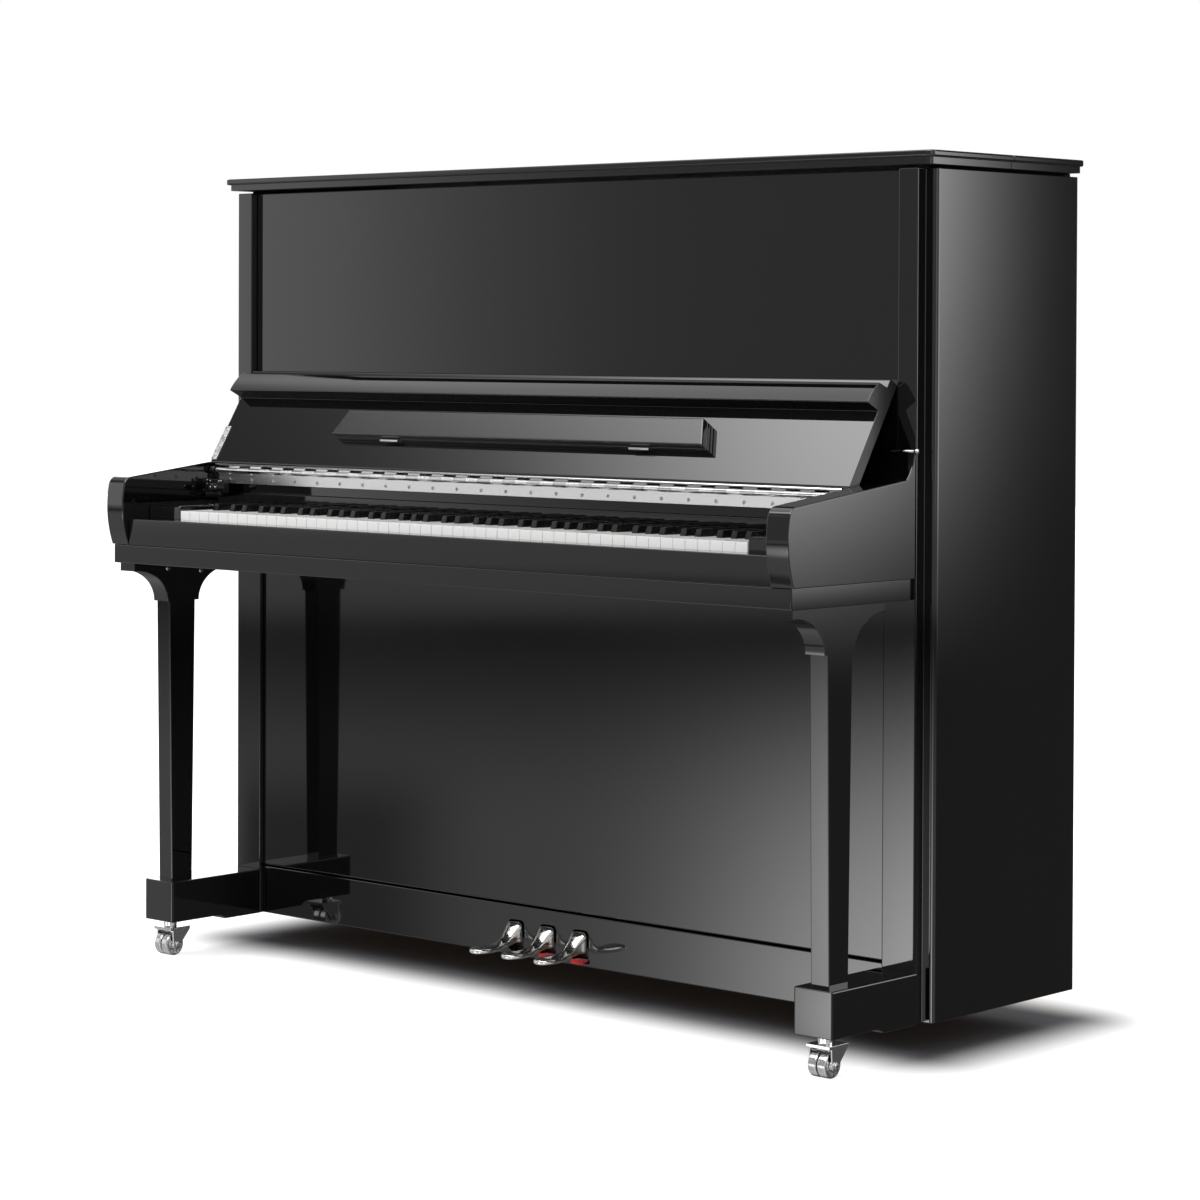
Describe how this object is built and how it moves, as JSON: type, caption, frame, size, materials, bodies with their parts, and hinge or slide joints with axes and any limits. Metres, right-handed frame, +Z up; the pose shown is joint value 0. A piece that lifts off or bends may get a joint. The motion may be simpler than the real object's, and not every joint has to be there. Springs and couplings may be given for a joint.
{
  "type": "upright piano",
  "caption": "Upright piano in gloss black, with a hinged fallboard and its music desk, folding lid, full keyboard, three pedals and double casters.",
  "frame": {"origin": "on the floor below the middle of the whole piano's bounding box", "axes": "+X to the player's right, +Y to the back of the piano, +Z up"},
  "size_m": [1.524, 0.674, 1.325],
  "materials": {
    "black_lacquer": "gloss black polyester lacquer",
    "white_keys": "gloss ivory white",
    "black_keys": "satin black",
    "polished_chrome": "polished",
    "wheel_steel": "turned and polished",
    "polished_brass": "polished pale brass",
    "zinc_steel": "zinc plated",
    "gold_iron": "gold bronze lacquer",
    "steel_wire": "bright drawn wire",
    "spruce_frame": "clear satin varnish",
    "spruce_board": "clear satin varnish",
    "action_maple": "raw maple",
    "hammer_felt": "pressed wool felt"
  },
  "bodies": {
    "cabinet": {"side_left": "black_lacquer", "side_right": "black_lacquer", "arm_left": "black_lacquer", "arm_right": "black_lacquer", "keybed": "black_lacquer", "key_slip": "black_lacquer", "key_blocks": "black_lacquer", "leg_left": "black_lacquer", "leg_right": "black_lacquer", "toe_left": "black_lacquer", "toe_right": "black_lacquer", "bottom_rail": "black_lacquer", "bottom_panel": "black_lacquer", "upper_panel": "black_lacquer", "nameboard": "black_lacquer", "fall_shelf": "black_lacquer", "fall_hinge_fixed": "polished_chrome", "lid_rear": "black_lacquer", "lid_hinge": "polished_chrome", "back_frame": "spruce_frame", "soundboard": "spruce_board", "iron_plate": "gold_iron", "strings": "steel_wire", "tuning_pins": "steel_wire", "action_frame": "action_maple", "key_frame": "spruce_frame", "bottom_board": "spruce_frame", "pedal_brackets": "zinc_steel"},
    "fallboard": {"fallboard": "black_lacquer", "fall_hinge_moving": "polished_chrome", "desk_batten": "black_lacquer", "desk_hinges": "polished_chrome"},
    "music_desk": {"music_desk": "black_lacquer"},
    "lid_front": {"lid_front": "black_lacquer"},
    "pedal_left": {"pedal_left": "polished_brass"},
    "pedal_middle": {"pedal_middle": "polished_brass"},
    "pedal_right": {"pedal_right": "polished_brass"},
    "hammers": {"hammers": "hammer_felt"},
    "dampers": {"dampers": "hammer_felt"},
    "muffler_rail": {"muffler_rail": "hammer_felt"},
    "caster_front_left": {"caster_fork_front_left": "polished_chrome"},
    "wheels_front_left": {"caster_wheels_front_left": "wheel_steel"},
    "caster_front_right": {"caster_fork_front_right": "polished_chrome"},
    "wheels_front_right": {"caster_wheels_front_right": "wheel_steel"},
    "caster_rear_left": {"caster_fork_rear_left": "polished_chrome"},
    "wheels_rear_left": {"caster_wheels_rear_left": "wheel_steel"},
    "caster_rear_right": {"caster_fork_rear_right": "polished_chrome"},
    "wheels_rear_right": {"caster_wheels_rear_right": "wheel_steel"},
    "keys_c": {"keys_c": "white_keys"},
    "keys_c_sharp": {"keys_c_sharp": "black_keys"},
    "keys_d": {"keys_d": "white_keys"},
    "keys_d_sharp": {"keys_d_sharp": "black_keys"},
    "keys_e": {"keys_e": "white_keys"},
    "keys_f": {"keys_f": "white_keys"},
    "keys_f_sharp": {"keys_f_sharp": "black_keys"},
    "keys_g": {"keys_g": "white_keys"},
    "keys_g_sharp": {"keys_g_sharp": "black_keys"},
    "keys_a": {"keys_a": "white_keys"},
    "keys_a_sharp": {"keys_a_sharp": "black_keys"},
    "keys_b": {"keys_b": "white_keys"}
  },
  "joints": [
    {"name": "fallboard_hinge", "type": "hinge", "parent": "cabinet", "child": "fallboard", "pos_m": [0, -0.141, 0.822], "axis": [-1, 0, 0], "range_deg": [-127, 0]},
    {"name": "music_desk_fold", "type": "hinge", "parent": "fallboard", "child": "music_desk", "pos_m": [0, -0.12648, 0.88061], "axis": [1, 0, 0], "range_deg": [0, 88]},
    {"name": "lid_fold", "type": "hinge", "parent": "cabinet", "child": "lid_front", "pos_m": [0, 0.156, 1.3225], "axis": [-1, 0, 0], "range_deg": [0, 176]},
    {"name": "pedal_left", "type": "hinge", "parent": "cabinet", "child": "pedal_left", "pos_m": [-0.07, 0.03, 0.096], "axis": [1, 0, 0], "range_deg": [0, 9], "stiffness_Nm_per_rad": 20, "springref_deg": -8.59},
    {"name": "pedal_middle", "type": "hinge", "parent": "cabinet", "child": "pedal_middle", "pos_m": [0, 0.03, 0.096], "axis": [1, 0, 0], "range_deg": [0, 9], "stiffness_Nm_per_rad": 20, "springref_deg": -8.59},
    {"name": "pedal_right", "type": "hinge", "parent": "cabinet", "child": "pedal_right", "pos_m": [0.07, 0.03, 0.096], "axis": [1, 0, 0], "range_deg": [0, 9], "stiffness_Nm_per_rad": 20, "springref_deg": -8.59},
    {"name": "hammers_half_blow", "type": "hinge", "parent": "cabinet", "child": "hammers", "pos_m": [0, 0.1117, 0.895], "axis": [-1, 0, 0], "range_deg": [0, 9]},
    {"name": "dampers_lift", "type": "hinge", "parent": "cabinet", "child": "dampers", "pos_m": [0, 0.1463, 0.89], "axis": [1, 0, 0], "range_deg": [0, 4]},
    {"name": "muffler_drop", "type": "slide", "parent": "cabinet", "child": "muffler_rail", "axis": [0, 0, -1], "range_m": [0, 0.035]},
    {"name": "swivel_front_left", "type": "hinge", "parent": "cabinet", "child": "caster_front_left", "pos_m": [-0.707, -0.217, 0.05], "axis": [0, 0, 1], "continuous": true},
    {"name": "roll_front_left", "type": "hinge", "parent": "caster_front_left", "child": "wheels_front_left", "pos_m": [-0.707, -0.22, 0.019], "axis": [1, 0, 0], "continuous": true},
    {"name": "swivel_front_right", "type": "hinge", "parent": "cabinet", "child": "caster_front_right", "pos_m": [0.707, -0.217, 0.05], "axis": [0, 0, 1], "continuous": true},
    {"name": "roll_front_right", "type": "hinge", "parent": "caster_front_right", "child": "wheels_front_right", "pos_m": [0.707, -0.22, 0.019], "axis": [1, 0, 0], "continuous": true},
    {"name": "swivel_rear_left", "type": "hinge", "parent": "cabinet", "child": "caster_rear_left", "pos_m": [-0.54, 0.29, 0.05], "axis": [0, 0, 1], "continuous": true},
    {"name": "roll_rear_left", "type": "hinge", "parent": "caster_rear_left", "child": "wheels_rear_left", "pos_m": [-0.54, 0.287, 0.019], "axis": [1, 0, 0], "continuous": true},
    {"name": "swivel_rear_right", "type": "hinge", "parent": "cabinet", "child": "caster_rear_right", "pos_m": [0.54, 0.29, 0.05], "axis": [0, 0, 1], "continuous": true},
    {"name": "roll_rear_right", "type": "hinge", "parent": "caster_rear_right", "child": "wheels_rear_right", "pos_m": [0.54, 0.287, 0.019], "axis": [1, 0, 0], "continuous": true},
    {"name": "press_c", "type": "hinge", "parent": "cabinet", "child": "keys_c", "pos_m": [0, -0.054, 0.737], "axis": [1, 0, 0], "range_deg": [0, 2.5], "stiffness_Nm_per_rad": 3, "springref_deg": -11.46},
    {"name": "press_c_sharp", "type": "hinge", "parent": "cabinet", "child": "keys_c_sharp", "pos_m": [0, -0.054, 0.737], "axis": [1, 0, 0], "range_deg": [0, 2.5], "stiffness_Nm_per_rad": 3, "springref_deg": -11.46},
    {"name": "press_d", "type": "hinge", "parent": "cabinet", "child": "keys_d", "pos_m": [0, -0.054, 0.737], "axis": [1, 0, 0], "range_deg": [0, 2.5], "stiffness_Nm_per_rad": 3, "springref_deg": -11.46},
    {"name": "press_d_sharp", "type": "hinge", "parent": "cabinet", "child": "keys_d_sharp", "pos_m": [0, -0.054, 0.737], "axis": [1, 0, 0], "range_deg": [0, 2.5], "stiffness_Nm_per_rad": 3, "springref_deg": -11.46},
    {"name": "press_e", "type": "hinge", "parent": "cabinet", "child": "keys_e", "pos_m": [0, -0.054, 0.737], "axis": [1, 0, 0], "range_deg": [0, 2.5], "stiffness_Nm_per_rad": 3, "springref_deg": -11.46},
    {"name": "press_f", "type": "hinge", "parent": "cabinet", "child": "keys_f", "pos_m": [0, -0.054, 0.737], "axis": [1, 0, 0], "range_deg": [0, 2.5], "stiffness_Nm_per_rad": 3, "springref_deg": -11.46},
    {"name": "press_f_sharp", "type": "hinge", "parent": "cabinet", "child": "keys_f_sharp", "pos_m": [0, -0.054, 0.737], "axis": [1, 0, 0], "range_deg": [0, 2.5], "stiffness_Nm_per_rad": 3, "springref_deg": -11.46},
    {"name": "press_g", "type": "hinge", "parent": "cabinet", "child": "keys_g", "pos_m": [0, -0.054, 0.737], "axis": [1, 0, 0], "range_deg": [0, 2.5], "stiffness_Nm_per_rad": 3, "springref_deg": -11.46},
    {"name": "press_g_sharp", "type": "hinge", "parent": "cabinet", "child": "keys_g_sharp", "pos_m": [0, -0.054, 0.737], "axis": [1, 0, 0], "range_deg": [0, 2.5], "stiffness_Nm_per_rad": 3, "springref_deg": -11.46},
    {"name": "press_a", "type": "hinge", "parent": "cabinet", "child": "keys_a", "pos_m": [0, -0.054, 0.737], "axis": [1, 0, 0], "range_deg": [0, 2.5], "stiffness_Nm_per_rad": 3, "springref_deg": -11.46},
    {"name": "press_a_sharp", "type": "hinge", "parent": "cabinet", "child": "keys_a_sharp", "pos_m": [0, -0.054, 0.737], "axis": [1, 0, 0], "range_deg": [0, 2.5], "stiffness_Nm_per_rad": 3, "springref_deg": -11.46},
    {"name": "press_b", "type": "hinge", "parent": "cabinet", "child": "keys_b", "pos_m": [0, -0.054, 0.737], "axis": [1, 0, 0], "range_deg": [0, 2.5], "stiffness_Nm_per_rad": 3, "springref_deg": -11.46}
  ],
  "couplings": [
    {"joint": "hammers_half_blow", "follows": "pedal_left", "ratio": 1},
    {"joint": "dampers_lift", "follows": "pedal_right", "ratio": 0.44444},
    {"joint": "muffler_drop", "follows": "pedal_middle", "m_per_rad": 0.22282}
  ]
}
